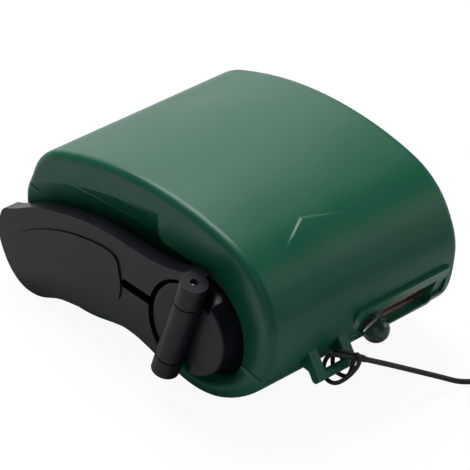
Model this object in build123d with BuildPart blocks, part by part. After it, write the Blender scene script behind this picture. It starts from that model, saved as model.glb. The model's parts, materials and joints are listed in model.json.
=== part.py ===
from build123d import *
from math import acos, atan2, ceil, cos, pi, radians, sin, tan
import os

# Hand crank phone charger, in millimetres.
# +X runs across the case from the crank side to the far side, +Y runs to the back, +Z is up.
# The case stands on its two bottom bumps. The origin is under the middle of the whole object.

# ---------------------------------------------------------------- driving dimensions

# case
case_width = 46.8
case_height = 35.5
wall = 1.8
edge_r = 1.7
nose_reach = 17.3          # front of the case ahead of the crank axis
nose_up = 18.5
tail_reach = 46.2          # back of the case behind the crank axis
tail_up = 17.0
crown_back = 11.0
shoulder_back = 38.0
shoulder_drop = 5.4
bump_front_back = 1.0      # the two bumps that the case stands on
bump_rear_back = 31.0
hollow_back = 15.0
hollow_up = 2.6
seam_up = 13.6             # height of the seam at the crank axis
seam_rise = 8.5            # degrees, rising to the back
seam_groove = 0.3

# crank pocket and side scoop
hub_up = 14.5
pocket_r = 10.9
pocket_deep = 4.5
pocket_floor = 1.5
scoop_deep = 3.4           # at the ledge, running out to nothing near the back
scoop_r = 30.0
scoop_up = 17.0
scoop_end_back = 43.5
ledge_up = 11.4            # lower edge of the ledge above the crank axis
ledge_back = 11.8
body_gap = 0.3             # air between bodies that move past each other
run_gap = 0.05             # radial clearance of a running shaft
fit_gap = 0.02             # radial clearance of a fixed pin or screw

# crank
arm_t = 3.0
arm_tip_back = 48.9
arm_pad_t = 0.3
arm_cut_r = 9.5
slot_up = 15.6              # slot that joins the cut round the hub
slot_half = 0.9
slot_end = 15.7
hub_face_out = 3.0
hub_disc_r = 8.8
hub_flange_r = 10.3
hub_flange_t = 2.4
hub_edge_r = 0.4
hub_notch_r = 4.3
mark_width = 0.35
mark_deep = 0.25
hinge_out = 4.3
hinge_back = 0.95
hinge_lean = 13.8
knuckle_r = 2.55
barrel_low = 6.1
barrel_high = 7.0
knuckle_low = 9.9
knuckle_high = 12.1
web_start = 7.8             # the web that carries the lower knuckle, from here to its end
web_deep = 4.0
hinge_pin_r = 0.75
pin_sink = 0.7

# finger knob
knob_back = 37.2
knob_up = 10.3
knob_r = 5.6
knob_t = 2.0
knob_rim_gap = 0.35
knob_post_r = 1.4
knob_dish_r = 2.7
knob_dish_deep = 0.9
knob_screw_r = 0.5
knob_head_r = 2.2
knob_head_t = 0.4
knob_post_end = -1.0
knob_screw_sink = 0.2      # depth of the screw in the arm's skin
knob_grips = 12
knob_grip_r = 0.5
knob_grip_deep = 0.6

# gear train
module = 0.5
crank_teeth = 36
wheel_teeth = 42
pinion_teeth = 12
backlash = 0.12
pressure_angle = 20.0
face_t = 1.6
shaft_r = 2.0
shaft_flat = 1.4
shaft_sunk = 0.7           # how far the shaft reaches into the hub past the case face
axle_r = 0.75
boss_r = 1.6
wheel_holes = 5
wheel_hole_at = 5.6
wheel_hole_r = 1.6
plate_t = 1.2
rear_plate_t = 1.2
layer_gap = 0.7
rear_gap = 1.1
plate_rim = 1.5
bush_r = 3.2
bush_flange_r = 4.4
bush_flange_t = 0.5
clip_t = 0.5
clip_r = 3.0
clip_groove_r = 1.55
pillar_r = 1.5
pillar_bite = 6.0
pillar_screw_r = 0.7
pillar_head_t = 0.8
pillar_spots = [(36.3, 25.0), (10.5, 7.6), (-8.5, 26.0)]
first_lift = 35.1          # degrees above level from the crank axis to the first gear
second_lift = -18.6
rotor_lift = -6.8

# generator
can_r = 7.5
can_length = 19.0
can_wall = 0.5
bobbin_r = 6.85
bobbin_core_r = 5.2
bobbin_core_t = 0.4
bobbin_flange_t = 0.6
magnet_r = 4.7
magnet_length = 15.0
rotor_bush_r = 1.8
rotor_shaft_r = 0.75
saddle_at = 27.0           # rib of the cover under the generator
saddle_width = 12.0
saddle_t = 2.0

# port frame, USB socket and lamp
port_tilt = 20.0           # degrees that the mouth faces down
port_side = 11.75           # from the far side to the middle of the socket
port_front = 16.15
port_up = 12.05
socket_width = 13.1
socket_height = 5.7
socket_length = 14.0
socket_skin = 0.3
socket_sink = 1.2
tongue_t = 1.84
tongue_half = 5.6
tongue_rise = 0.88
tongue_sink = 0.6
tongue_block = 3.5
slot_gap = 0.2
contact_count = 4
contact_pitch = 2.2
contact_w = 1.0
contact_t = 0.25
frame_left = 14.55
frame_right = 9.15
frame_top = 5.7
frame_bottom = 4.5
frame_deep = 3.2
frame_bevel = 1.3          # lower corner on the far side
frame_corner = 0.5
frame_gap = 0.1
arch_deep = 1.2
lamp_across = -9.75
lamp_rise = 1.1
lamp_out = 1.9
lamp_r = 2.5
lamp_flange_r = 2.9
lamp_flange_t = 1.0
lamp_gap = 0.15
lead_t = 0.5
lead_pitch = 1.27
lead_reach = 2.05

# circuit board
board_t = 1.2
board_left = 10.9
board_right = 8.9
board_front = 3.5
board_length = 28.0
standoff_r = 1.9
standoff_in = 23.0
standoff_left = 8.2
standoff_right = 6.6
screw_r = 0.8
screw_length = 5.0
screw_head_r = 1.4
screw_head_t = 0.8
capacitor_r = 3.15
capacitor_h = 8.0
capacitor_across = -2.6
capacitor_in = 20.5
chip_across = 3.3
chip_in = 19.5
chip_width = 5.0
chip_length = 4.0
chip_t = 1.6
diode_across = -1.75
diode_count = 4
diode_pitch = 3.5
diode_width = 2.6
diode_length = 4.5
diode_t = 2.2
generator_lead_across = (-4.0, -2.0)
generator_lead_d = 0.8

# case screws
case_screw_r = 1.0
case_screw_head_r = 1.8
case_screw_head_t = 1.3
case_screw_grip = 3.0
case_screw_bite = 6.0
post_r = 2.7
post_side = 5.5             # far posts, from the far side
post_spots = [
    (21.0, -7.0), (22.4, 22.5), (case_width - post_side, 20.0), (case_width - post_side, 36.0)
]

# lanyard eyelet
eyelet_across = 9.6
eyelet_width = 9.5
eyelet_leg = 2.1
eyelet_bar = 1.8
bar_back = -19.2
bar_up = 9.3

# lanyard
strand_d = 0.8
cord_d = 1.0
coil_pitch = 1.6
coil_outer_r = 8.5               # radius of the first half turn
coil_half_turns = 7
knot_r = 1.25

# ---------------------------------------------------------------- places

port_across = case_width - port_side
knuckle_out = hinge_out + knuckle_r
band_x = (knuckle_out - case_width) / 2            # crank-side face of the case
tilt_c = cos(radians(port_tilt))
tilt_s = sin(radians(port_tilt))
front_reach = port_front + lamp_rise * tilt_s + lamp_out * tilt_c + lamp_r   # front of the lamp's dome
hub_y = (front_reach - arm_tip_back) / 2           # crank axis


def side_plane(depth):
    # Parallel to the crank side: local x is distance behind the crank axis, local y is height.
    return Plane(origin=(band_x + depth, hub_y, 0), x_dir=(0, 1, 0), z_dir=(1, 0, 0))


def hinge_plane(along):
    # Square to the arm's hinge axis: local x is depth into the case, local y points back.
    lean = radians(hinge_lean)
    axis = Vector(0, -sin(lean), cos(lean))
    start = Vector(band_x - hinge_out, hub_y + hinge_back, hub_up)
    return Plane(origin=start + axis * along, x_dir=(1, 0, 0), z_dir=axis)


def port_plane(out):
    # Parallel to the mouth of the USB socket: local x is +X, local y is up the slope.
    normal = Vector(0, -tilt_c, -tilt_s)
    centre = Vector(band_x + port_across, hub_y - port_front, port_up)
    return Plane(origin=centre + normal * out, x_dir=(1, 0, 0), z_dir=normal)


# ---------------------------------------------------------------- case outline

def outline_knots():
    # Distance behind the crank axis, height, and heading of the outline there, going round by the back.
    rim_up = case_height - shoulder_drop
    crown_rise = case_height - nose_up
    rim_rise = rim_up - tail_up
    return [
        (crown_back, case_height, 0),
        (shoulder_back, rim_up, -22),
        (tail_reach - 1.4, tail_up + 0.436 * rim_rise, -76),
        (tail_reach, tail_up, -94),
        (tail_reach - 4.2, tail_up - 10.5, -128),
        (bump_rear_back, 0, -180),
        (hollow_back, hollow_up, -180),
        (bump_front_back, 0, -180),
        (4.5 - nose_reach + 4.7, 2.6, -211),
        (1.9 - nose_reach, 9.2, -231),
        (-nose_reach, nose_up, -270),
        (2.8 - nose_reach, nose_up + 0.486 * crown_rise, -302),
        (13.3 - nose_reach, nose_up + 0.904 * crown_rise, -347),
    ]


def case_face(inset):
    # The case outline, moved inwards by the inset.
    knots = outline_knots()
    with BuildSketch() as face:
        with BuildLine():
            points = []
            headings = []
            for back, up, heading in knots:
                turn = radians(heading)
                points.append((back + inset * sin(turn), up - inset * cos(turn)))
                headings.append((cos(turn), sin(turn)))
            count = len(points)
            for k in range(count):
                n = (k + 1) % count
                Spline(points[k], points[n], tangents=[headings[k], headings[n]])
        make_face()
    return face.sketch


def case_block(inset, depth):
    # A solid of the case outline, inset all round, standing clear of both sides by the depth.
    with BuildPart() as block:
        with BuildSketch(side_plane(depth)):
            add(case_face(inset))
        extrude(amount=case_width - 2 * depth)
    return block.part


def scoop_block(grow):
    # The finger scoop in the crank side, behind the pocket and under the ledge.
    low = -10.0
    far = tail_reach + 10.0
    ledge = hub_up + ledge_up + grow
    back = ledge_back - grow
    with BuildPart() as scoop:
        with BuildSketch(side_plane(-1)):
            with BuildLine():
                Polyline((ledge_back / 2, low), (ledge_back / 2, ledge - 3), (0, ledge - 3), (0, ledge))
                Line((0, ledge), (back - 1.6, ledge))
                ThreePointArc((back - 1.6, ledge), (back - 0.3, ledge + 0.9), (back, ledge + 3.0))
                Line((back, ledge + 3.0), (back + 2.0, case_height + 5))
                Line((back + 2.0, case_height + 5), (far, case_height + 5))
                Line((far, case_height + 5), (far, low))
                Line((far, low), (ledge_back / 2, low))
            make_face()
        extrude(amount=scoop_deep + grow + 2)
        slope = atan2(scoop_deep, scoop_end_back - ledge_back)
        middle = (band_x + scoop_deep - scoop_r, hub_y + ledge_back, scoop_up)
        along = (-sin(slope), cos(slope), 0)
        with BuildSketch(Plane(origin=middle, x_dir=(cos(slope), sin(slope), 0), z_dir=along)):
            Circle(scoop_r + grow)
        extrude(amount=tail_reach + 20, both=True, mode=Mode.INTERSECT)
    return scoop.part


def pocket_block(grow, deep):
    # The round pocket that the crank hub turns in.
    with BuildPart() as pocket:
        with BuildSketch(side_plane(-1)):
            with Locations((0, hub_up)):
                Circle(pocket_r + grow)
        extrude(amount=deep + 1)
    return pocket.part


def seam_height(back):
    return seam_up + back * tan(radians(seam_rise))


def below_seam(drop, thick):
    # A slab under the seam, starting the drop below it.
    slope = radians(seam_rise)
    seam = Plane(
        origin=(0, hub_y, seam_up - drop), x_dir=(1, 0, 0), z_dir=(0, -sin(slope), cos(slope))
    )
    with BuildPart() as slab:
        with BuildSketch(seam):
            Rectangle(case_width * 2, 200)
        extrude(amount=-thick)
    return slab.part


def port_frame(grow, ahead):
    # The raised frame round the USB mouth, grown all round, reaching ahead of the mouth's plane.
    with BuildPart() as frame:
        with BuildSketch(port_plane(ahead)) as outline:
            with Locations(((frame_right - frame_left) / 2, (frame_top - frame_bottom) / 2)):
                Rectangle(frame_left + frame_right + 2 * grow, frame_top + frame_bottom + 2 * grow)
            far_and_down = Axis((0, 0, 0), (1, -1, 0))
            chamfer(outline.vertices().sort_by(far_and_down)[:-1], frame_corner)
            chamfer(outline.vertices().sort_by(far_and_down)[-1], frame_bevel)
        extrude(amount=-(ahead + frame_deep + grow))
    return frame.part


def ear_block(grow):
    # The two ears of the lanyard eyelet, out of the front wall and down to the bar.
    first = eyelet_across + eyelet_leg / 2
    last = eyelet_across + eyelet_width - eyelet_leg / 2
    with BuildPart() as ears:
        for across in (first, last):
            with BuildSketch(side_plane(across - eyelet_leg / 2 - grow)):
                with BuildLine():
                    Polyline(
                        (wall - nose_reach + grow, seam_at_front + 2.7 + grow),
                        (0.4 - nose_reach, seam_at_front + 2.9 + grow),
                        (bar_back - 0.8, bar_up + 0.5),
                        (bar_back - 0.3, bar_up - 0.85),
                        (bar_back + 0.5, bar_up - 0.75),
                        (bar_back + 1.6, bar_up + 0.7),
                        (wall - nose_reach + grow, bar_up + 0.9 - grow),
                        close=True,
                    )
                make_face()
            extrude(amount=eyelet_leg + 2 * grow)
    return ears.part


# ---------------------------------------------------------------- case

seam_at_front = seam_height(-nose_reach)

with BuildPart() as outer_case:
    add(case_block(0, 0))
    fillet(outer_case.edges().group_by(Axis.X)[0] + outer_case.edges().group_by(Axis.X)[-1], edge_r)

with BuildPart() as cavity:
    add(case_block(wall, wall))
    add(pocket_block(wall, pocket_deep + pocket_floor), mode=Mode.SUBTRACT)
    add(scoop_block(wall), mode=Mode.SUBTRACT)

with BuildPart() as case_skin:
    add(outer_case.part)
    add(cavity.part, mode=Mode.SUBTRACT)
    add(scoop_block(0), mode=Mode.SUBTRACT)
    add(pocket_block(0, pocket_deep), mode=Mode.SUBTRACT)
    with BuildSketch(side_plane(pocket_deep - 1)):
        with Locations((0, hub_up)):
            Circle(bush_r + fit_gap)
    extrude(amount=pocket_floor + 2, mode=Mode.SUBTRACT)

inner_bound = case_block(wall / 2, wall / 2)

# ---------------------------------------------------------------- layers across the gearbox

plate_at = pocket_deep + pocket_floor                        # front plate lies on the pocket's floor
crank_gear_at = plate_at + plate_t + bush_flange_t + body_gap
clip_at = crank_gear_at + face_t + body_gap
shaft_end = clip_at + clip_t + 0.1
gear_start = plate_at + plate_t + body_gap
first_wheel_at = shaft_end + body_gap
second_wheel_at = first_wheel_at + face_t + layer_gap
rear_plate_at = second_wheel_at + face_t + rear_gap
can_at = rear_plate_at + rear_plate_t
pinion_start = second_wheel_at - body_gap
pinion_end = second_wheel_at + face_t + 0.5
magnet_at = can_at + (can_length - can_wall - magnet_length) / 2
bobbin_length = (can_length - can_wall - 3 * body_gap) / 2


def step_to(start, lift, teeth):
    # The centre of the gear whose pinion runs on a wheel of this many teeth.
    distance = module * (teeth + pinion_teeth) / 2
    return (start[0] + distance * cos(radians(lift)), start[1] + distance * sin(radians(lift)))


hub_spot = (0, hub_up)
first_spot = step_to(hub_spot, first_lift, crank_teeth)
second_spot = step_to(first_spot, second_lift, wheel_teeth)
rotor_spot = step_to(second_spot, rotor_lift, wheel_teeth)
turned = 180 + 180 / pinion_teeth              # puts a tooth gap of a pinion on the line of centres


def port_point(across, rise, out):
    return port_plane(out).from_local_coords(Vector(across, rise, 0))


def board_plane(rise):
    # On the board's upper face: local x is across the socket, local y goes into the case.
    origin = port_point(0, rise - socket_height / 2, 0)
    return Plane(origin=origin, x_dir=(1, 0, 0), z_dir=(0, -tilt_s, tilt_c))


def tube(depth_from, depth_to, spot, outer, inner):
    # A round piece parallel to the crank axis, with a bore unless the inner radius is nought.
    with BuildPart() as ring:
        with BuildSketch(side_plane(depth_from)):
            with Locations(spot):
                Circle(outer)
                if inner > 0:
                    Circle(inner, mode=Mode.SUBTRACT)
        extrude(amount=depth_to - depth_from)
    return ring.part


def hinge_tube(low, high, radius):
    # A cylinder on the arm's hinge axis.
    with BuildPart() as ring:
        with BuildSketch(hinge_plane(low)):
            Circle(radius)
        extrude(amount=high - low)
    return ring.part


def port_box(left, right, low, high, out_from, out_to):
    # A block in the port's own directions, from one distance ahead of the mouth back to another.
    with BuildPart() as block:
        with BuildSketch(port_plane(out_from)):
            with Locations(((left + right) / 2, (low + high) / 2)):
                Rectangle(right - left, high - low)
        extrude(amount=out_to - out_from)
    return block.part


def standing(across, back, low, high, radius):
    # An upright cylinder inside the case.
    with BuildPart() as post:
        with BuildSketch(Plane.XY.offset(low)):
            with Locations((band_x + across, hub_y + back)):
                Circle(radius)
        extrude(amount=high - low)
    return post.part


# ---------------------------------------------------------------- case halves

with BuildPart() as eyelet:
    add(ear_block(0))
    add(tube(eyelet_across, eyelet_across + eyelet_width, (bar_back, bar_up), eyelet_bar / 2, 0))

with BuildPart() as top_posts:
    for across, back in post_spots:
        add(standing(across, back, 0, case_height, post_r))
    add(inner_bound, mode=Mode.INTERSECT)
    add(below_seam(0, 60), mode=Mode.SUBTRACT)

with BuildPart() as bottom_posts:
    for across, back in post_spots:
        add(standing(across, back, 0, case_height, post_r))
    for across in (-standoff_left, standoff_right):
        with BuildSketch(board_plane(-board_t)):
            with Locations((across, standoff_in)):
                Circle(standoff_r)
        extrude(amount=-case_height)
    with BuildSketch(side_plane(saddle_at)):
        with Locations((rotor_spot[0], rotor_spot[1] / 2)):
            Rectangle(saddle_width, rotor_spot[1])
        with Locations(rotor_spot):
            Circle(can_r + 2 * frame_gap, mode=Mode.SUBTRACT)
    extrude(amount=saddle_t)
    add(inner_bound, mode=Mode.INTERSECT)
    add(below_seam(0, 60), mode=Mode.INTERSECT)

with BuildPart() as seam_reveal:
    add(below_seam(0, seam_groove))
    add(case_block(seam_groove, seam_groove), mode=Mode.SUBTRACT)

with BuildPart() as top_shell:
    add(case_skin.part)
    add(below_seam(0, 60), mode=Mode.SUBTRACT)
    add(port_frame(frame_gap, 4), mode=Mode.SUBTRACT)
    add(ear_block(frame_gap), mode=Mode.SUBTRACT)
    add(top_posts.part)
    for across, back in post_spots:
        seam = seam_height(back)
        pilot = standing(across, back, seam - post_r, seam + case_screw_bite + 0.5, case_screw_r + fit_gap)
        add(pilot, mode=Mode.SUBTRACT)

with BuildPart() as bottom_cover:
    add(case_skin.part)
    add(below_seam(0, 60), mode=Mode.INTERSECT)
    add(seam_reveal.part, mode=Mode.SUBTRACT)
    add(bottom_posts.part)
    add(port_frame(0, 0))
    add(eyelet.part)
    slot_w = socket_width / 2 + slot_gap
    slot_h = socket_height / 2 + slot_gap
    add(port_box(-slot_w, slot_w, -slot_h, slot_h, 1, -frame_deep - 1), mode=Mode.SUBTRACT)
    with BuildSketch(port_plane(1)):
        with Locations((lamp_across, lamp_rise)):
            Circle(lamp_r + lamp_gap)
    extrude(amount=-frame_deep - 1, mode=Mode.SUBTRACT)
    arch_w = lamp_r + lamp_gap
    arch = port_box(lamp_across - arch_w, lamp_across + arch_w, -frame_bottom - 1, lamp_rise, 1, -arch_deep)
    add(arch, mode=Mode.SUBTRACT)
    for across, back in post_spots:
        grip = seam_height(back) - case_screw_grip
        add(standing(across, back, -1, grip, case_screw_head_r + slot_gap), mode=Mode.SUBTRACT)
        add(standing(across, back, grip - 1, case_height, case_screw_r + 2 * run_gap), mode=Mode.SUBTRACT)
    for across in (-standoff_left, standoff_right):
        with BuildSketch(board_plane(0)):
            with Locations((across, standoff_in)):
                Circle(screw_r + fit_gap)
        extrude(amount=-board_t - screw_length - 0.5, mode=Mode.SUBTRACT)

with BuildPart() as cover_screws:
    for across, back in post_spots:
        grip = seam_height(back) - case_screw_grip
        add(standing(across, back, grip - case_screw_head_t, grip, case_screw_head_r))
        add(standing(across, back, grip, grip + case_screw_grip + case_screw_bite, case_screw_r))
        with BuildSketch(Plane.XY.offset(grip - case_screw_head_t)):
            with Locations((band_x + across, hub_y + back)):
                Rectangle(2.2, 0.5)
                Rectangle(0.5, 2.2)
        extrude(amount=0.6, mode=Mode.SUBTRACT)

# ---------------------------------------------------------------- crank


def shaft_face(grow):
    # The section of the crank shaft where it has its flat.
    with BuildSketch() as face:
        Circle(shaft_r + grow)
        with Locations((0, shaft_flat + grow + shaft_r)):
            Rectangle(4 * shaft_r, 2 * shaft_r, mode=Mode.SUBTRACT)
    return face.sketch


shaft_section = shaft_face(0)
shaft_bore = shaft_face(fit_gap)
arm_in = hinge_out - body_gap                  # arm's inner face, measured in from the hinge axis
arm_out = arm_in - arm_t
knob_face = -body_gap - 0.1
knob_top = knob_face - knob_t
screw_tip = knob_top - body_gap - knob_screw_sink
hub_back_at = pocket_deep - body_gap           # inner face of the hub's flange
knuckle_cut_r = knuckle_r + body_gap


def knuckle_notch(low, high):
    # Room in the hub for a knuckle, wider in front of it, where the disc is cut away.
    with BuildPart() as notch:
        with BuildSketch(hinge_plane(low)):
            Circle(hub_notch_r)
            with Locations((0, hub_notch_r)):
                Rectangle(2 * hub_notch_r, 2 * hub_notch_r, mode=Mode.SUBTRACT)
            Circle(knuckle_cut_r)
        extrude(amount=high - low)
    return notch.part


with BuildPart() as crank_hub:
    add(tube(-hub_face_out, hub_back_at - hub_flange_t, hub_spot, hub_disc_r, 0))
    fillet(crank_hub.edges().group_by(Axis.X)[0], hub_edge_r)
    add(tube(hub_back_at - hub_flange_t, hub_back_at, hub_spot, hub_flange_r, 0))
    add(knuckle_notch(barrel_high, barrel_high + hub_disc_r), mode=Mode.SUBTRACT)
    add(knuckle_notch(-barrel_low - hub_disc_r, -barrel_low), mode=Mode.SUBTRACT)
    with BuildSketch(hinge_plane(-web_start + body_gap)):
        with Locations((hinge_out / 2, hub_disc_r / 2)):
            Rectangle(hinge_out, hub_disc_r)
    extrude(amount=-hub_disc_r, mode=Mode.SUBTRACT)
    add(hinge_tube(-barrel_low, barrel_high, knuckle_r))
    add(hinge_tube(-barrel_low - 1, barrel_high + 1, hinge_pin_r + run_gap), mode=Mode.SUBTRACT)
    with BuildSketch(side_plane(-shaft_sunk)):
        with Locations(hub_spot):
            add(shaft_bore)
    extrude(amount=shaft_sunk + hub_back_at + 1, mode=Mode.SUBTRACT)
    with BuildSketch(side_plane(-hub_face_out)):
        SlotArc(ThreePointArc((-3.6, hub_up + 4.1), (-5.2, hub_up + 1.8), (-5.7, hub_up - 0.9)), mark_width)
    extrude(amount=mark_deep, mode=Mode.SUBTRACT)

with BuildPart() as crank_arm:
    with BuildSketch(side_plane(-body_gap)):
        with BuildLine():
            upper = Spline(
                (1.0, 26.2), (7.4, 24.3), (13.6, 23.8), (23.8, 23.4), (34.0, 21.0), (41.6, 17.9),
                (46.0, 15.3), (arm_tip_back, 10.6), tangents=[(1, -0.5), (0.1, -1)]
            )
            lower = Spline(
                upper @ 1, (47.5, 5.9), (45.1, 2.8), (41.6, 0.8), (38.9, 0.6), (36.3, 1.2), (32.5, 3.0),
                (27.3, 4.3), (22.1, 5.5), (13.2, 6.6), (9.3, 6.0), (5.6, 4.6), (3.4, 4.4),
                tangents=[(0.1, -1), (-1, 0.1)]
            )
            top_of_hinge = (
                hinge_back - knuckle_high * sin(radians(hinge_lean)),
                hub_up + knuckle_high * cos(radians(hinge_lean))
            )
            Polyline(lower @ 1, top_of_hinge, upper @ 0)
        make_face()
    extrude(amount=-arm_t)
    add(tube(-body_gap - arm_t - 1, 0, hub_spot, arm_cut_r, 0), mode=Mode.SUBTRACT)
    with BuildSketch(side_plane(-body_gap - arm_t)):
        with BuildLine():
            Spline(
                (45.3, 9.7), (37.4, 15.5), (31.0, 18.3), (24.7, 19.9), (20.4, 20.3), (18.2, 19.7),
                (17.2, 17.6), (16.5, 14.5), (17.3, 11.3), (20.1, 11.0), (26.4, 9.7), (32.8, 7.3),
                (38.4, 4.3), (41.6, 3.6), (44.1, 4.9), (45.7, 7.8), periodic=True
            )
        make_face()
    extrude(amount=-arm_pad_t)
    with BuildSketch(side_plane(0)):
        with BuildLine():
            Polyline(
                (hub_disc_r - 1, slot_up - slot_half), (slot_end, slot_up - slot_half),
                (slot_end, slot_up + slot_half), (hub_disc_r - 1, slot_up + slot_half), close=True
            )
        make_face()
        with Locations((slot_end, slot_up)):
            Circle(slot_half)
    extrude(amount=-arm_t - body_gap - 1, mode=Mode.SUBTRACT)
    with BuildSketch(hinge_plane(-knuckle_low)):
        with Locations(((arm_in + arm_out) / 2, web_deep / 2)):
            Rectangle(arm_t, web_deep)
    extrude(amount=knuckle_low - web_start)
    add(hinge_tube(-knuckle_low, -barrel_low - body_gap, knuckle_r))
    add(hinge_tube(barrel_high + body_gap, knuckle_high, knuckle_r))
    add(hinge_tube(-knuckle_low + pin_sink, knuckle_high + 1, hinge_pin_r + fit_gap), mode=Mode.SUBTRACT)
    add(tube(knob_top - body_gap, 1, (knob_back, knob_up), knob_r + knob_rim_gap, 0), mode=Mode.SUBTRACT)
    add(tube(knob_top - body_gap - 0.1, knob_post_end, (knob_back, knob_up), knob_post_r, 0))
    add(tube(screw_tip - 0.1, 1, (knob_back, knob_up), knob_screw_r + fit_gap, 0), mode=Mode.SUBTRACT)

with BuildPart() as hinge_pin:
    add(hinge_tube(-knuckle_low + pin_sink, knuckle_high - pin_sink, hinge_pin_r))
    chamfer(hinge_pin.edges().filter_by(GeomType.CIRCLE), 0.15)

with BuildPart() as finger_knob:
    add(tube(knob_top, knob_face, (knob_back, knob_up), knob_r, 0))
    fillet(finger_knob.edges().group_by(Axis.X)[-1], 0.5)
    add(tube(knob_face - knob_dish_deep, 1, (knob_back, knob_up), knob_dish_r, 0), mode=Mode.SUBTRACT)
    add(tube(knob_top - 1, 1, (knob_back, knob_up), knob_post_r + run_gap, 0), mode=Mode.SUBTRACT)
    with BuildSketch(side_plane(knob_face - knob_grip_deep)):
        with Locations((knob_back, knob_up)):
            with PolarLocations(knob_r, knob_grips):
                Circle(knob_grip_r)
    extrude(amount=1, mode=Mode.SUBTRACT)

with BuildPart() as knob_screw:
    add(tube(screw_tip, knob_post_end, (knob_back, knob_up), knob_screw_r, 0))
    add(tube(knob_post_end, knob_post_end + knob_head_t, (knob_back, knob_up), knob_head_r, 0))
    with BuildSketch(side_plane(knob_post_end + knob_head_t - 0.2)):
        with Locations((knob_back, knob_up)):
            Rectangle(1.8, 0.4)
            Rectangle(0.4, 1.8)
    extrude(amount=1, mode=Mode.SUBTRACT)

# ---------------------------------------------------------------- gears


def involute(angle):
    return tan(angle) - angle


def gear_face(teeth, turn):
    # A spur gear's outline, turned by so many degrees; each flank is four points of its involute.
    pitch_r = module * teeth / 2
    base_r = pitch_r * cos(radians(pressure_angle))
    root_r = pitch_r - 1.25 * module
    tip_r = pitch_r + module
    start_r = max(base_r, root_r)
    half = pi / (2 * teeth) - backlash / (4 * pitch_r) + involute(radians(pressure_angle))
    radii = [start_r + (tip_r - start_r) * k / 3 for k in range(4)]
    flank = [(r, half - involute(acos(min(1, base_r / r)))) for r in radii]
    if start_r > root_r + 0.01:
        flank.insert(0, (root_r, flank[0][1]))
    points = []
    for tooth in range(teeth):
        middle = radians(turn) + 2 * pi * tooth / teeth
        for r, spread in flank:
            points.append((r * cos(middle - spread), r * sin(middle - spread)))
        for r, spread in reversed(flank):
            points.append((r * cos(middle + spread), r * sin(middle + spread)))
    with BuildSketch() as face:
        with BuildLine():
            Polyline(*points, close=True)
        make_face()
    return face.sketch


def gear_block(spot, teeth, turn, depth_from, depth_to):
    face = gear_face(teeth, turn)
    with BuildPart() as gear:
        with BuildSketch(side_plane(depth_from)):
            with Locations(spot):
                add(face)
        extrude(amount=depth_to - depth_from)
    return gear.part


with BuildPart() as crank_gear:
    add(gear_block(hub_spot, crank_teeth, first_lift, crank_gear_at, crank_gear_at + face_t))
    with BuildSketch(side_plane(crank_gear_at - 1)):
        with Locations(hub_spot):
            add(shaft_bore)
            with PolarLocations(wheel_hole_at, wheel_holes):
                Circle(wheel_hole_r)
    extrude(amount=face_t + 2, mode=Mode.SUBTRACT)

with BuildPart() as first_gear:
    add(gear_block(first_spot, pinion_teeth, first_lift + turned, gear_start, first_wheel_at))
    add(gear_block(first_spot, wheel_teeth, second_lift, first_wheel_at, first_wheel_at + face_t))
    add(tube(first_wheel_at, rear_plate_at - body_gap, first_spot, boss_r, 0))
    add(tube(0, case_width, first_spot, axle_r + run_gap, 0), mode=Mode.SUBTRACT)

with BuildPart() as second_gear:
    add(tube(gear_start, first_wheel_at, second_spot, boss_r, 0))
    second_turn = second_lift + turned
    add(gear_block(second_spot, pinion_teeth, second_turn, first_wheel_at - body_gap, second_wheel_at))
    add(gear_block(second_spot, wheel_teeth, rotor_lift, second_wheel_at, second_wheel_at + face_t))
    add(tube(second_wheel_at, rear_plate_at - body_gap, second_spot, boss_r, 0))
    add(tube(0, case_width, second_spot, axle_r + run_gap, 0), mode=Mode.SUBTRACT)

with BuildPart() as rotor_pinion:
    add(gear_block(rotor_spot, pinion_teeth, rotor_lift + turned, pinion_start, pinion_end))
    add(tube(0, case_width, rotor_spot, rotor_shaft_r + fit_gap, 0), mode=Mode.SUBTRACT)

with BuildPart() as gear_axles:
    for spot in (first_spot, second_spot):
        add(tube(plate_at + 0.2, can_at - 0.1, spot, axle_r, 0))

with BuildPart() as input_shaft:
    add(tube(hub_back_at, crank_gear_at, hub_spot, shaft_r, 0))
    for depth_from, depth_to in ((-shaft_sunk, hub_back_at), (crank_gear_at, shaft_end)):
        with BuildSketch(side_plane(depth_from)):
            with Locations(hub_spot):
                add(shaft_section)
        extrude(amount=depth_to - depth_from)
    clip_cut = tube(clip_at, clip_at + clip_t, hub_spot, 2 * shaft_r, clip_groove_r)
    add(clip_cut, mode=Mode.SUBTRACT)

with BuildPart() as shaft_clip:
    add(tube(clip_at, clip_at + clip_t, hub_spot, clip_r, clip_groove_r))
    with BuildSketch(side_plane(clip_at)):
        with Locations((0, hub_up - clip_r)):
            Rectangle(1.6 * clip_groove_r, 2 * clip_r)
    extrude(amount=clip_t, mode=Mode.SUBTRACT)

with BuildPart() as shaft_bush:
    add(tube(pocket_deep, plate_at + plate_t, hub_spot, bush_r, 0))
    add(tube(plate_at + plate_t, plate_at + plate_t + bush_flange_t, hub_spot, bush_flange_r, 0))
    add(tube(0, case_width, hub_spot, shaft_r + run_gap, 0), mode=Mode.SUBTRACT)

with BuildSketch() as plate_outline:
    for spot, radius in ((hub_spot, bush_flange_r + 2), (rotor_spot, can_r + 0.3)):
        with Locations(spot):
            Circle(radius)
    for spot in pillar_spots:
        with Locations(spot):
            Circle(pillar_r + plate_rim)
    make_hull()

with BuildPart() as gearbox_front_plate:
    with BuildSketch(side_plane(plate_at)):
        add(plate_outline.sketch)
        with Locations(hub_spot):
            Circle(bush_r + fit_gap, mode=Mode.SUBTRACT)
        with Locations(first_spot, second_spot):
            Circle(axle_r + fit_gap, mode=Mode.SUBTRACT)
    extrude(amount=plate_t)
    for spot in pillar_spots:
        add(tube(plate_at + plate_t, rear_plate_at, spot, pillar_r, 0))
        pilot = tube(rear_plate_at - pillar_bite - 0.2, rear_plate_at, spot, pillar_screw_r + fit_gap, 0)
        add(pilot, mode=Mode.SUBTRACT)

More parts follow.
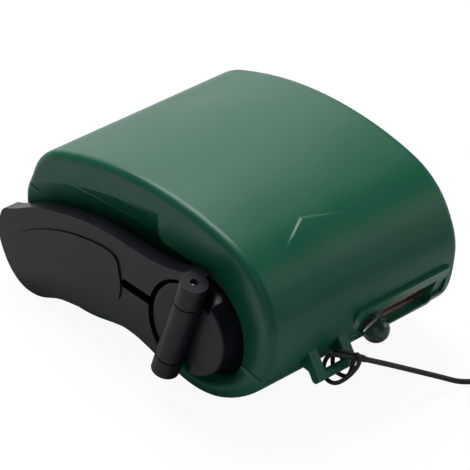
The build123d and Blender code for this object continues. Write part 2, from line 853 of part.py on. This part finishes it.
with BuildPart() as gearbox_rear_plate:
    with BuildSketch(side_plane(rear_plate_at)):
        add(plate_outline.sketch)
        with Locations(first_spot, second_spot):
            Circle(axle_r + fit_gap, mode=Mode.SUBTRACT)
        with Locations(rotor_spot):
            Circle(rotor_bush_r + fit_gap, mode=Mode.SUBTRACT)
        with Locations(*pillar_spots):
            Circle(pillar_screw_r + run_gap, mode=Mode.SUBTRACT)
    extrude(amount=rear_plate_t)

with BuildPart() as gearbox_screws:
    for spot in pillar_spots:
        add(tube(rear_plate_at - pillar_bite, can_at, spot, pillar_screw_r, 0))
        add(tube(can_at, can_at + pillar_head_t, spot, 2 * pillar_screw_r, 0))

# ---------------------------------------------------------------- generator

with BuildPart() as generator_can:
    add(tube(can_at, can_at + can_length, rotor_spot, can_r, rotor_bush_r + fit_gap))
    add(tube(can_at, can_at + can_length - can_wall, rotor_spot, can_r - can_wall, 0), mode=Mode.SUBTRACT)

with BuildPart() as stator_bobbins:
    for k in range(2):
        start = can_at + body_gap + k * (bobbin_length + body_gap)
        finish = start + bobbin_length
        add(tube(start, finish, rotor_spot, bobbin_core_r + bobbin_core_t, bobbin_core_r))
        add(tube(start, start + bobbin_flange_t, rotor_spot, bobbin_r, bobbin_core_r))
        add(tube(finish - bobbin_flange_t, finish, rotor_spot, bobbin_r, bobbin_core_r))

with BuildPart() as stator_coils:
    for k in range(2):
        start = can_at + body_gap + k * (bobbin_length + body_gap) + bobbin_flange_t
        finish = start + bobbin_length - 2 * bobbin_flange_t
        add(tube(start, finish, rotor_spot, bobbin_r - frame_gap, bobbin_core_r + bobbin_core_t))

with BuildPart() as rotor_magnet:
    add(tube(magnet_at, magnet_at + magnet_length, rotor_spot, magnet_r, rotor_shaft_r + fit_gap))

with BuildPart() as rotor_shaft:
    add(tube(pinion_start, can_at + can_length + 0.9, rotor_spot, rotor_shaft_r, 0))

with BuildPart() as rotor_bushes:
    add(tube(rear_plate_at, can_at + 0.4, rotor_spot, rotor_bush_r, rotor_shaft_r + run_gap))
    rear_bush_at = can_at + can_length - can_wall - 0.5
    add(tube(rear_bush_at, rear_bush_at + 1.6, rotor_spot, rotor_bush_r, rotor_shaft_r + run_gap))

# ---------------------------------------------------------------- socket, lamp and board

with BuildPart() as usb_shell:
    half_w = socket_width / 2
    half_h = socket_height / 2
    inner_w = half_w - socket_skin
    inner_h = half_h - socket_skin
    shell_end = -socket_sink - socket_length
    add(port_box(-half_w, half_w, -half_h, half_h, -socket_sink, shell_end))
    fillet(usb_shell.edges().filter_by(Axis((0, 0, 0), (0, -tilt_c, -tilt_s))), 0.6)
    add(port_box(-inner_w, inner_w, -inner_h, inner_h, 1, shell_end + socket_skin), mode=Mode.SUBTRACT)

with BuildPart() as usb_tongue:
    tongue_low = -inner_h + tongue_rise
    tongue_tip = -socket_sink - tongue_sink
    block_at = shell_end + socket_skin + tongue_block
    add(port_box(-tongue_half, tongue_half, tongue_low, tongue_low + tongue_t, tongue_tip, block_at - 0.1))
    fill_w = inner_w - fit_gap
    fill_h = inner_h - fit_gap
    add(port_box(-fill_w, fill_w, -fill_h, fill_h, block_at, shell_end + socket_skin))

with BuildPart() as usb_contacts:
    contact_low = tongue_low + tongue_t
    for k in range(contact_count):
        across = (k - (contact_count - 1) / 2) * contact_pitch
        left = across - contact_w / 2
        right = across + contact_w / 2
        contact_top = contact_low + contact_t
        add(port_box(left, right, contact_low, contact_top, tongue_tip - 0.5, block_at))

with BuildPart() as led_lens:
    with BuildSketch(port_plane(-frame_deep - lamp_flange_t)):
        with Locations((lamp_across, lamp_rise)):
            Circle(lamp_flange_r)
    extrude(amount=lamp_flange_t)
    with BuildSketch(port_plane(-frame_deep)):
        with Locations((lamp_across, lamp_rise)):
            Circle(lamp_r)
    extrude(amount=frame_deep + lamp_out)
    with Locations(port_point(lamp_across, lamp_rise, lamp_out)):
        Sphere(lamp_r)

with BuildPart() as led_leads:
    lens_back = -frame_deep - lamp_flange_t
    half_l = lead_t / 2
    for across in (lamp_across - lead_pitch / 2, lamp_across + lead_pitch / 2):
        left = across - half_l
        right = across + half_l
        back_end = lens_back - lead_reach
        add(port_box(left, right, lamp_rise - half_l, lamp_rise + half_l, lens_back, back_end))
        drop_at = back_end + lead_t
        add(port_box(left, right, -socket_height / 2, lamp_rise + half_l, drop_at, drop_at - lead_t))

with BuildPart() as circuit_board:
    with BuildSketch(board_plane(-board_t)):
        with Locations(((board_right - board_left) / 2, board_front + board_length / 2)):
            Rectangle(board_left + board_right, board_length)
        with Locations((-standoff_left, standoff_in), (standoff_right, standoff_in)):
            Circle(screw_r + run_gap, mode=Mode.SUBTRACT)
    extrude(amount=board_t)

with BuildPart() as board_screws:
    for across in (-standoff_left, standoff_right):
        with BuildSketch(board_plane(-board_t - screw_length)):
            with Locations((across, standoff_in)):
                Circle(screw_r)
        extrude(amount=board_t + screw_length)
        with BuildSketch(board_plane(0)):
            with Locations((across, standoff_in)):
                Circle(screw_head_r)
        extrude(amount=screw_head_t)

with BuildPart() as capacitor:
    with BuildSketch(board_plane(0)):
        with Locations((capacitor_across, capacitor_in)):
            Circle(capacitor_r)
    extrude(amount=capacitor_h)
    fillet(capacitor.edges().filter_by(GeomType.CIRCLE), 0.4)

with BuildPart() as regulator_chip:
    with BuildSketch(board_plane(0)):
        with Locations((chip_across, chip_in)):
            Rectangle(chip_width, chip_length)
    extrude(amount=chip_t)

with BuildPart() as rectifier_diodes:
    with BuildSketch(board_plane(0)):
        with Locations((diode_across, board_front + board_length - diode_length / 2 - 1.5)):
            with GridLocations(diode_pitch, 1, diode_count, 1):
                Rectangle(diode_width, diode_length)
    extrude(amount=diode_t)


# ---------------------------------------------------------------- cords


def route_radii(points):
    # Each corner takes 0.45 of its shorter run.
    radii = []
    for before, here, after in zip(points, points[1:], points[2:]):
        run_in = here - before
        run_out = after - here
        half_turn = radians(run_in.get_angle(run_out)) / 2
        radii.append(0.45 * min(run_in.length, run_out.length) / tan(half_turn))
    return radii


def place(across, ahead, up):
    # A cord's points are given by depth into the case, distance ahead of the crank axis, and height.
    return Vector(band_x + across, hub_y - ahead, up)


def cord_tube(points, diameter):
    # A round cord along straight runs joined by tangent arcs.
    radii = route_radii(points)
    with BuildPart() as cord:
        with BuildLine() as path:
            FilletPolyline(*points, radius=radii)
        line = path.wires()[0]
        with BuildSketch(Plane(origin=line @ 0, z_dir=line % 0)):
            Circle(diameter / 2)
        sweep(path=line)
    area = pi * diameter**2 / 4
    print("radii", [round(r, 2) for r in radii], "length", round(line.length, 2))
    print("volume", round(cord.part.volume, 3), "section x length", round(area * line.length, 3))
    return cord.part


lead_points = []
for across in generator_lead_across:
    side = band_x + port_across + across
    can_front = hub_y + rotor_spot[0] - can_r
    lead_points.append([
        Vector(side, can_front, rotor_spot[1]),
        Vector(side, can_front - 3.8, rotor_spot[1]),
        board_plane(-board_t / 2).from_local_coords(Vector(across, board_front + board_length + 4.2, 0)),
        board_plane(-board_t / 2).from_local_coords(Vector(across, board_front + board_length, 0)),
    ])

with BuildPart() as generator_leads:
    for points in lead_points:
        add(cord_tube(points, generator_lead_d))

loop_points = [
    place(*spot) for spot in (
        (18.6, 22.6, 11.2), (15.6, 20.3, 12.1), (13.6, 17.7, 12.1), (13.2, 17.6, 7.6), (12.7, 20.9, 7.6),
        (14.6, 22.4, 9.2), (17.0, 22.8, 11.5), (17.3, 21.6, 12.9), (17.6, 20.7, 10.9), (16.6, 21.2, 9.0),
        (15.9, 20.9, 7.6), (15.7, 17.6, 7.6), (15.3, 17.7, 12.1), (16.6, 19.6, 12.1), (19.0, 21.9, 11.2),
    )
]
cord_points = [
    place(*spot) for spot in (
        (18.75, 22.35, 11.2), (23.5, 24.0, 8.8), (28.6, 25.2, 5.9), (33.9, 26.7, 3.0), (38.7, 28.8, 0.5),
        (44.6, 31.3, 0.5),
    )
]

with BuildPart() as lanyard_loop:
    add(cord_tube(loop_points, strand_d))

with BuildPart() as lanyard_cord:
    add(cord_tube(cord_points, cord_d))

with BuildPart() as lanyard_coil:
    start = cord_points[-1]
    heading = (cord_points[-1] - cord_points[-2]).normalized()
    with BuildLine() as coil_line:
        lead_in = Line(start, start + heading * cord_d)
        here = lead_in @ 1
        for k in range(coil_half_turns):
            radius = coil_outer_r - k * coil_pitch / 2
            side = Vector(heading.Y, -heading.X, 0)
            opposite = here + side * 2 * radius
            middle = here + side * radius + heading * radius
            ThreePointArc(here, middle, opposite)
            here = opposite
            heading = heading * -1
        lead_out = Line(here, here + heading * cord_d)
    coil_path = coil_line.wires()[0]
    with BuildSketch(Plane(origin=start, z_dir=lead_in % 0)):
        Circle(cord_d / 2)
    sweep(path=coil_path)

coil_steps = 400
coil_points = [coil_path @ (k / coil_steps) for k in range(coil_steps + 1)]
skip = ceil(5 * cord_d * coil_steps / coil_path.length)
between = [(a - b).length for k, a in enumerate(coil_points) for b in coil_points[k + skip:]]
print("coil length", round(coil_path.length, 1), "least gap between turns", round(min(between) - cord_d, 2))

with BuildPart() as lanyard_knot:
    tail = lead_out @ 1
    with Locations((tail.X, tail.Y, knot_r)):
        Sphere(knot_r)

# ---------------------------------------------------------------- export

pieces = {
    "top_shell": top_shell,
    "bottom_cover": bottom_cover,
    "cover_screws": cover_screws,
    "crank_hub": crank_hub,
    "crank_arm": crank_arm,
    "hinge_pin": hinge_pin,
    "finger_knob": finger_knob,
    "knob_screw": knob_screw,
    "input_shaft": input_shaft,
    "shaft_bush": shaft_bush,
    "shaft_clip": shaft_clip,
    "crank_gear": crank_gear,
    "first_gear": first_gear,
    "second_gear": second_gear,
    "gear_axles": gear_axles,
    "gearbox_front_plate": gearbox_front_plate,
    "gearbox_rear_plate": gearbox_rear_plate,
    "gearbox_screws": gearbox_screws,
    "rotor_shaft": rotor_shaft,
    "rotor_pinion": rotor_pinion,
    "rotor_magnet": rotor_magnet,
    "rotor_bushes": rotor_bushes,
    "generator_can": generator_can,
    "stator_bobbins": stator_bobbins,
    "stator_coils": stator_coils,
    "generator_leads": generator_leads,
    "circuit_board": circuit_board,
    "board_screws": board_screws,
    "usb_shell": usb_shell,
    "usb_tongue": usb_tongue,
    "usb_contacts": usb_contacts,
    "led_lens": led_lens,
    "led_leads": led_leads,
    "rectifier_diodes": rectifier_diodes,
    "capacitor": capacitor,
    "regulator_chip": regulator_chip,
    "lanyard_loop": lanyard_loop,
    "lanyard_cord": lanyard_cord,
    "lanyard_coil": lanyard_coil,
    "lanyard_knot": lanyard_knot,
}

os.makedirs("parts", exist_ok=True)
for name, piece in pieces.items():
    piece.part.label = name
    export_step(piece.part, f"parts/{name}.step")
    print(name, piece.part.is_valid, len(piece.part.solids()), round(piece.part.volume, 2))
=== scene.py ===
import bmesh
import bpy
import json
import math
from mathutils import Matrix, Vector

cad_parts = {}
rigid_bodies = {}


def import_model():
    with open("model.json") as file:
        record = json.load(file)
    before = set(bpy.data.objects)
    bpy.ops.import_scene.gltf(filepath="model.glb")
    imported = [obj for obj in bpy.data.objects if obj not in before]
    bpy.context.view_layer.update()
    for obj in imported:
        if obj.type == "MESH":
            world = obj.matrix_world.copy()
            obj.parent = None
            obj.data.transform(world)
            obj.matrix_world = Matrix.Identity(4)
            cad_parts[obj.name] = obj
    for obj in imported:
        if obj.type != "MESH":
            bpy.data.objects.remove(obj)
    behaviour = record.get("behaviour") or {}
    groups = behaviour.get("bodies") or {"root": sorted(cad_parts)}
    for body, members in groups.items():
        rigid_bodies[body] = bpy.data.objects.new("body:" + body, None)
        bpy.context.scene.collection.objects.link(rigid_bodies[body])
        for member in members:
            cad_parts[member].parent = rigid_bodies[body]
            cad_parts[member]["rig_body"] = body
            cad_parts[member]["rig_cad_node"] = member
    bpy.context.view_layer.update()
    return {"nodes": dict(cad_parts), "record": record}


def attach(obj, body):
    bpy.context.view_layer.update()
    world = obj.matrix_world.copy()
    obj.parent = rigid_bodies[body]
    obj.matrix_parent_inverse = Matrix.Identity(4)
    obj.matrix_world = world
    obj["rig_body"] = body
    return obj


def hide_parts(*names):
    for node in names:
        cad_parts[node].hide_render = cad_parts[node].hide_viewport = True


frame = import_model()
scene = bpy.context.scene
print("frame loaded")

MM = 0.001

# Places of the part, in millimetres, as its source has them.
crankFaceX = -19.975
hubY = -14.0442


def place(across, ahead, up):
    # Depth into the case, distance ahead of the crank axis, height.
    return Vector(((crankFaceX + across) * MM, (hubY - ahead) * MM, up * MM))


# ---------------------------------------------------------------- camera

cameraSpot = (-0.386571, -0.361766, 0.377853)
cameraTurn = (55.6262, -4.2562, -44.1374)
cameraData = bpy.data.cameras.new("camera")
cameraData.lens = 275.74
cameraData.sensor_width = 36
cameraData.clip_start = 0.01
camera = bpy.data.objects.new("camera", cameraData)
camera.location = cameraSpot
camera.rotation_euler = [math.radians(a) for a in cameraTurn]
scene.collection.objects.link(camera)
scene.camera = camera
scene.view_settings.view_transform = "Standard"

# ---------------------------------------------------------------- cords

strandThick = 0.8
cordThick = 1.0
coilRadius = 8.5
coilPitch = 1.6
coilHalfTurns = 7
pointsPerHalfTurn = 8

loopRoute = [
    (18.6, 22.6, 11.2), (15.6, 20.3, 12.1), (13.6, 17.7, 12.1), (13.2, 17.6, 7.6), (12.7, 20.9, 7.6),
    (14.6, 22.4, 9.2), (17.0, 22.8, 11.5), (17.3, 21.6, 12.9), (17.6, 20.7, 10.9), (16.6, 21.2, 9.0),
    (15.9, 20.9, 7.6), (15.7, 17.6, 7.6), (15.3, 17.7, 12.1), (16.6, 19.6, 12.1), (19.0, 21.9, 11.2),
]
cordRoute = [
    (18.75, 22.35, 11.2), (23.5, 24.0, 8.8), (28.6, 25.2, 5.9), (33.9, 26.7, 3.0), (38.7, 28.8, 0.5),
    (44.6, 31.3, 0.5),
]


def cordCurve(name, points, thick):
    curve = bpy.data.curves.new(name, "CURVE")
    curve.dimensions = "3D"
    curve.bevel_depth = 1
    curve.bevel_resolution = 5
    curve.resolution_u = 12
    curve.use_fill_caps = True
    spline = curve.splines.new("NURBS")
    spline.points.add(len(points) - 1)
    for point, spot in zip(spline.points, points):
        point.co = (spot.x, spot.y, spot.z, 1)
        point.radius = thick * MM / 2
    spline.order_u = 3
    spline.use_endpoint_u = True
    piece = bpy.data.objects.new(name, curve)
    scene.collection.objects.link(piece)
    return piece


def coilPoints(start, heading):
    # Half turns that lose half a pitch of radius each, lying flat.
    points = [start + heading * cordThick * MM]
    here = points[0]
    for half in range(coilHalfTurns):
        radius = (coilRadius - half * coilPitch / 2) * MM
        side = Vector((heading.y, -heading.x, 0))
        centre = here + side * radius
        bulge = 1 / math.cos(math.pi / pointsPerHalfTurn / 2)
        for step in range(pointsPerHalfTurn):
            turn = math.pi * (step + 0.5) / pointsPerHalfTurn
            points.append(centre + (heading * math.sin(turn) - side * math.cos(turn)) * radius * bulge)
        here = here + side * 2 * radius
        heading = -heading
    points.append(here)
    points.append(here + heading * cordThick * MM)
    return points


loopPoints = [place(*spot) for spot in loopRoute]
cordPoints = [place(*spot) for spot in cordRoute]
coilHeading = (cordPoints[-1] - cordPoints[-2]).normalized()
coilRun = coilPoints(cordPoints[-1], coilHeading)

lanyardLoop = cordCurve("lanyardLoop", loopPoints, strandThick)
lanyardCord = cordCurve("lanyardCord", cordPoints + coilRun, cordThick)
print("cords laid")

# ---------------------------------------------------------------- shader parts


def newGroup(name, inputs, outputs):
    group = bpy.data.node_groups.new(name, "ShaderNodeTree")
    for label, kind, value in inputs:
        socket = group.interface.new_socket(label, in_out="INPUT", socket_type=kind)
        socket.default_value = value
    for label, kind in outputs:
        group.interface.new_socket(label, in_out="OUTPUT", socket_type=kind)
    return group, group.nodes.new("NodeGroupInput"), group.nodes.new("NodeGroupOutput")


def makeGrain():
    # Fine grain for moulded and metal surfaces: gives a shade, a roughness and a height.
    group, given, result = newGroup(
        "surfaceGrain",
        [
            ("Color", "NodeSocketColor", (0.5, 0.5, 0.5, 1)), ("Variation", "NodeSocketFloat", 0.06),
            ("Roughness", "NodeSocketFloat", 0.4), ("Grain Size", "NodeSocketFloat", 2500.0),
        ],
        [("Color", "NodeSocketColor"), ("Roughness", "NodeSocketFloat"), ("Height", "NodeSocketFloat")],
    )
    nodes = group.nodes
    link = group.links.new
    coords = nodes.new("ShaderNodeTexCoord")
    fine = nodes.new("ShaderNodeTexNoise")
    broad = nodes.new("ShaderNodeTexNoise")
    broad.inputs["Scale"].default_value = 90
    fine.inputs["Detail"].default_value = 3
    link(coords.outputs["Object"], fine.inputs["Vector"])
    link(coords.outputs["Object"], broad.inputs["Vector"])
    link(given.outputs["Grain Size"], fine.inputs["Scale"])
    spread = nodes.new("ShaderNodeMath")
    spread.operation = "MULTIPLY_ADD"
    link(broad.outputs["Fac"], spread.inputs[0])
    spread.inputs[1].default_value = 0.16
    spread.inputs[2].default_value = -0.08
    rough = nodes.new("ShaderNodeMath")
    rough.operation = "ADD"
    link(given.outputs["Roughness"], rough.inputs[0])
    link(spread.outputs[0], rough.inputs[1])
    shade = nodes.new("ShaderNodeMapRange")
    link(broad.outputs["Fac"], shade.inputs["Value"])
    low = nodes.new("ShaderNodeMath")
    low.operation = "SUBTRACT"
    low.inputs[0].default_value = 1.0
    link(given.outputs["Variation"], low.inputs[1])
    high = nodes.new("ShaderNodeMath")
    high.operation = "ADD"
    high.inputs[0].default_value = 1.0
    link(given.outputs["Variation"], high.inputs[1])
    link(low.outputs[0], shade.inputs["To Min"])
    link(high.outputs[0], shade.inputs["To Max"])
    tint = nodes.new("ShaderNodeVectorMath")
    tint.operation = "SCALE"
    link(given.outputs["Color"], tint.inputs[0])
    link(shade.outputs["Result"], tint.inputs["Scale"])
    link(tint.outputs["Vector"], result.inputs["Color"])
    link(rough.outputs[0], result.inputs["Roughness"])
    link(fine.outputs["Fac"], result.inputs["Height"])
    return group


def makeCrease():
    # A fine raised step with a corner, as on the top of the shell, fading away from its corner.
    group, given, result = newGroup(
        "cornerCrease",
        [
            ("Corner", "NodeSocketVector", (0, 0, 0)), ("First Side", "NodeSocketVector", (0, -1, 0)),
            ("Second Side", "NodeSocketVector", (0, -1, 0)), ("Reach", "NodeSocketFloat", 0.01),
            ("Width", "NodeSocketFloat", 0.0002),
        ],
        [("Height", "NodeSocketFloat")],
    )
    nodes = group.nodes
    link = group.links.new
    coords = nodes.new("ShaderNodeTexCoord")
    offset = nodes.new("ShaderNodeVectorMath")
    offset.operation = "SUBTRACT"
    link(coords.outputs["Object"], offset.inputs[0])
    link(given.outputs["Corner"], offset.inputs[1])
    depths = []
    for side in ("First Side", "Second Side"):
        depth = nodes.new("ShaderNodeVectorMath")
        depth.operation = "DOT_PRODUCT"
        link(offset.outputs["Vector"], depth.inputs[0])
        link(given.outputs[side], depth.inputs[1])
        depths.append(depth.outputs["Value"])
    inside = nodes.new("ShaderNodeMath")
    inside.operation = "MINIMUM"
    link(depths[0], inside.inputs[0])
    link(depths[1], inside.inputs[1])
    step = nodes.new("ShaderNodeMapRange")
    step.interpolation_type = "SMOOTHSTEP"
    step.inputs["From Min"].default_value = 0
    link(inside.outputs[0], step.inputs["Value"])
    link(given.outputs["Width"], step.inputs["From Max"])
    far = nodes.new("ShaderNodeVectorMath")
    far.operation = "LENGTH"
    link(offset.outputs["Vector"], far.inputs[0])
    fade = nodes.new("ShaderNodeMapRange")
    fade.interpolation_type = "SMOOTHSTEP"
    fade.inputs["From Min"].default_value = 0
    fade.inputs["To Min"].default_value = 1
    fade.inputs["To Max"].default_value = 0
    link(far.outputs["Value"], fade.inputs["Value"])
    link(given.outputs["Reach"], fade.inputs["From Max"])
    both = nodes.new("ShaderNodeMath")
    both.operation = "MULTIPLY"
    link(step.outputs["Result"], both.inputs[0])
    link(fade.outputs["Result"], both.inputs[1])
    link(both.outputs[0], result.inputs["Height"])
    return group


grain = makeGrain()
crease = makeCrease()


def makeMaterial(
    name, color, roughness, variation=0.06, grainSize=2500.0, bump=0.1, depth=0.02, **constants
):
    # A plastic, metal or cord with grain; the depth of its bump is in millimetres.
    material = bpy.data.materials.new(name)
    material.use_nodes = True
    nodes = material.node_tree.nodes
    link = material.node_tree.links.new
    shader = nodes["Principled BSDF"]
    surface = nodes.new("ShaderNodeGroup")
    surface.node_tree = grain
    surface.inputs["Color"].default_value = (*color, 1)
    surface.inputs["Variation"].default_value = variation
    surface.inputs["Roughness"].default_value = roughness
    surface.inputs["Grain Size"].default_value = grainSize
    link(surface.outputs["Color"], shader.inputs["Base Color"])
    link(surface.outputs["Roughness"], shader.inputs["Roughness"])
    relief = nodes.new("ShaderNodeBump")
    relief.inputs["Strength"].default_value = bump
    relief.inputs["Distance"].default_value = depth * MM
    link(surface.outputs["Height"], relief.inputs["Height"])
    link(relief.outputs["Normal"], shader.inputs["Normal"])
    for label, value in constants.items():
        shader.inputs[label.replace("_", " ")].default_value = value
    return material


materials = {
    "case_top": makeMaterial(
        "caseTopGreen", (0.004, 0.092, 0.046), 0.36, bump=0.08, Specular_IOR_Level=0.34
    ),
    "case_bottom": makeMaterial(
        "caseCoverGreen", (0.006, 0.115, 0.060), 0.38, bump=0.1, Specular_IOR_Level=0.34
    ),
    "charcoal": makeMaterial(
        "charcoalPlastic", (0.006, 0.005, 0.010), 0.34, bump=0.2, grainSize=3500.0, Specular_IOR_Level=0.32
    ),
    "steel": makeMaterial("plainSteel", (0.55, 0.55, 0.56), 0.3, Metallic=1.0),
    "brass": makeMaterial("plainBrass", (0.72, 0.52, 0.24), 0.32, Metallic=1.0),
    "gear_white": makeMaterial("acetal", (0.72, 0.71, 0.66), 0.45),
    "inner_black": makeMaterial("innerBlack", (0.03, 0.03, 0.032), 0.5),
    "magnet": makeMaterial("magnetDark", (0.05, 0.05, 0.055), 0.4, Metallic=0.6),
    "tin": makeMaterial("tinnedSteel", (0.62, 0.62, 0.60), 0.28, Metallic=1.0),
    "copper": makeMaterial("windingCopper", (0.55, 0.2, 0.09), 0.35, Metallic=0.8),
    "lead_red": makeMaterial("leadRed", (0.4, 0.03, 0.02), 0.45),
    "board_green": makeMaterial("boardGreen", (0.02, 0.13, 0.05), 0.35),
    # The socket's brown is its own colour, but it is painted much lighter to make up for the shade it lies
    # in: painted light.
    "socket_plastic": makeMaterial("socketBrown", (0.42, 0.20, 0.16), 0.5),
    "gold": makeMaterial("contactGold", (0.8, 0.58, 0.25), 0.25, Metallic=1.0),
    "clear_lens": makeMaterial(
        "clearLens", (0.9, 0.93, 0.93), 0.05, bump=0.0, Transmission_Weight=1.0, IOR=1.5
    ),
    "capacitor_blue": makeMaterial("capacitorBlue", (0.02, 0.04, 0.14), 0.3),
    "cord_black": makeMaterial(
        "cordBlack", (0.012, 0.012, 0.016), 0.55, bump=0.6, depth=0.08, grainSize=4500.0
    ),
}


def creaseTop():
    # The faint corner mark on the top of the shell, ahead of the crank axis.
    tree = materials["case_top"].node_tree
    mark = tree.nodes.new("ShaderNodeGroup")
    mark.node_tree = crease
    mark.inputs["Corner"].default_value = place(16.2, 6.0, 33.2)
    mark.inputs["First Side"].default_value = (-0.268, -0.963, 0)
    mark.inputs["Second Side"].default_value = (0.3, -0.6, 0)
    mark.inputs["Reach"].default_value = 11 * MM
    mark.inputs["Width"].default_value = 0.4 * MM
    relief = tree.nodes.new("ShaderNodeBump")
    relief.inputs["Distance"].default_value = 0.25 * MM
    tree.links.new(mark.outputs["Height"], relief.inputs["Height"])
    fine = tree.nodes["Bump"]
    tree.links.new(relief.outputs["Normal"], fine.inputs["Normal"])


creaseTop()
print("materials made")

# ---------------------------------------------------------------- case and crank pieces

nodeSlot = {entry["node"]: entry["material_slot"] for entry in frame["record"]["subparts"]}
bodyMembers = frame["record"]["behaviour"]["bodies"]
nodeBody = {node: body for body, members in bodyMembers.items() for node in members}

mergeDistance = 0.002
flatAngle = 0.5
smoothAngle = 32            # edges sharper than this stay sharp
shellAngle = 20
armEdge = 0.7               # rounded outer edges of the arm


def paint(piece, slot):
    piece.data.materials.clear()
    piece.data.materials.append(materials[slot])


def refined(node, bevel, flatten, angle=smoothAngle):
    # A copy of a CAD piece with its triangles joined, its edges eased and its curves smooth.
    source = frame["nodes"][node]
    piece = source.copy()
    piece.data = source.data.copy()
    words = node.split("_")
    piece.name = words[0] + "".join(word.capitalize() for word in words[1:])
    scene.collection.objects.link(piece)
    bpy.ops.object.select_all(action="DESELECT")
    piece.select_set(True)
    bpy.context.view_layer.objects.active = piece
    bpy.ops.object.mode_set(mode="EDIT")
    bpy.ops.mesh.select_all(action="SELECT")
    bpy.ops.mesh.remove_doubles(threshold=mergeDistance * MM)
    if flatten:
        bpy.ops.mesh.dissolve_limited(angle_limit=math.radians(flatAngle))
    bpy.ops.object.mode_set(mode="OBJECT")
    if bevel > 0:
        modifier = piece.modifiers.new("easedEdges", "BEVEL")
        modifier.width = bevel * MM
        modifier.segments = 3
        modifier.limit_method = "ANGLE"
        modifier.angle_limit = math.radians(angle)
        modifier.use_clamp_overlap = True
        bpy.ops.object.modifier_apply(modifier=modifier.name)
    bpy.ops.object.shade_smooth_by_angle(angle=math.radians(angle))
    modifier = piece.modifiers.new("evenNormals", "WEIGHTED_NORMAL")
    modifier.mode = "FACE_AREA_WITH_ANGLE"
    modifier.keep_sharp = True
    bpy.ops.object.modifier_apply(modifier=modifier.name)
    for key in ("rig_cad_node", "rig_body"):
        if key in piece:
            del piece[key]
    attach(piece, nodeBody[node])
    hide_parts(node)
    paint(piece, nodeSlot[node])


for node, piece in frame["nodes"].items():
    paint(piece, nodeSlot[node])

for node in ("top_shell", "bottom_cover"):
    refined(node, 0, False, shellAngle)
for node in ("crank_hub", "led_lens", "hinge_pin"):
    refined(node, 0, False)
refined("crank_arm", armEdge, True)

portTilt = 20
socketMiddle = (35.05, 16.15, 12.05)
lampAcross = -9.75
lampRise = 1.1


def lampSpot(out, across=0.0):
    # A point on the lamp's axis, so far ahead of the socket's mouth, or beside it.
    tilt = math.radians(portTilt)
    ahead = Vector((0, -math.cos(tilt), -math.sin(tilt)))
    upward = Vector((0, -math.sin(tilt), math.cos(tilt)))
    aside = Vector((lampAcross + across, 0, 0))
    return place(*socketMiddle) + (upward * lampRise + ahead * out + aside) * MM


def lampInside():
    # The two posts inside the clear lens, one with its reflector cup.
    frameMesh = bmesh.new()
    turn = (lampSpot(1) - lampSpot(0)).to_track_quat("Z", "Y").to_matrix().to_4x4()
    for start, end, across, foot, head in (
        (-3.0, -0.1, -0.55, 0.3, 0.3), (-0.1, 0.9, -0.25, 0.55, 1.15), (-3.0, 0.5, 1.05, 0.22, 0.35),
    ):
        middleSpot = lampSpot((start + end) / 2, across)
        bmesh.ops.create_cone(
            frameMesh, cap_ends=True, segments=24, radius1=foot * MM, radius2=head * MM,
            depth=(end - start) * MM, matrix=Matrix.Translation(middleSpot) @ turn,
        )
    mesh = bpy.data.meshes.new("lampPosts")
    frameMesh.to_mesh(mesh)
    frameMesh.free()
    posts = bpy.data.objects.new("lampPosts", mesh)
    scene.collection.objects.link(posts)
    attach(posts, "case")
    paint(posts, "tin")


lampInside()
print("pieces refined")

for cord, slotNodes in ((lanyardLoop, ("lanyard_loop",)), (lanyardCord, ("lanyard_cord", "lanyard_coil"))):
    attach(cord, "case")
    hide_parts(*slotNodes)
    paint(cord, "cord_black")

# ---------------------------------------------------------------- stage


def makeFloor():
    bpy.ops.mesh.primitive_plane_add(size=6, location=(0, 0, -0.00005))
    floor = bpy.context.object
    floor.name = "floor"
    material = bpy.data.materials.new("paleFloor")
    material.use_nodes = True
    nodes = material.node_tree.nodes
    link = material.node_tree.links.new
    shader = nodes["Principled BSDF"]
    shader.inputs["Base Color"].default_value = (0.6, 0.6, 0.6, 1)
    shader.inputs["Roughness"].default_value = 0.8
    glow = nodes.new("ShaderNodeEmission")
    glow.inputs["Color"].default_value = (1, 1, 1, 1)
    glow.inputs["Strength"].default_value = 1.04
    path = nodes.new("ShaderNodeLightPath")
    share = nodes.new("ShaderNodeMath")
    share.operation = "MULTIPLY"
    share.inputs[1].default_value = 0.9
    link(path.outputs["Is Camera Ray"], share.inputs[0])
    mix = nodes.new("ShaderNodeMixShader")
    link(share.outputs[0], mix.inputs["Fac"])
    link(shader.outputs["BSDF"], mix.inputs[1])
    link(glow.outputs["Emission"], mix.inputs[2])
    link(mix.outputs["Shader"], nodes["Material Output"].inputs["Surface"])
    floor.data.materials.append(material)


def makeLamp(name, spot, aim, size, power):
    data = bpy.data.lights.new(name, "AREA")
    data.shape = "SQUARE"
    data.size = size
    data.energy = power
    lamp = bpy.data.objects.new(name, data)
    lamp.location = spot
    lamp.rotation_euler = (Vector(aim) - Vector(spot)).to_track_quat("-Z", "Y").to_euler()
    scene.collection.objects.link(lamp)


makeFloor()
middle = (0, 0, 0.018)
makeLamp("overheadSoftbox", (0.1, 0.3, 0.65), middle, 0.5, 6)
makeLamp("backSoftbox", (0.35, 0.6, 0.3), middle, 0.6, 1.4)
makeLamp("frontFill", (-0.5, -0.5, 0.35), middle, 0.5, 0.35)
makeLamp("sideFill", (0.6, -0.4, 0.3), middle, 0.4, 0.8)


def makeWorld():
    # Plain white to the camera, a weaker sky to everything else.
    world = bpy.data.worlds.new("studio")
    world.use_nodes = True
    nodes = world.node_tree.nodes
    link = world.node_tree.links.new
    path = nodes.new("ShaderNodeLightPath")
    level = nodes.new("ShaderNodeMath")
    level.operation = "MULTIPLY_ADD"
    level.inputs[1].default_value = 0.88
    level.inputs[2].default_value = 0.12
    link(path.outputs["Is Camera Ray"], level.inputs[0])
    nodes["Background"].inputs["Color"].default_value = (1, 1, 1, 1)
    link(level.outputs[0], nodes["Background"].inputs["Strength"])
    scene.world = world


makeWorld()
print("stage set")
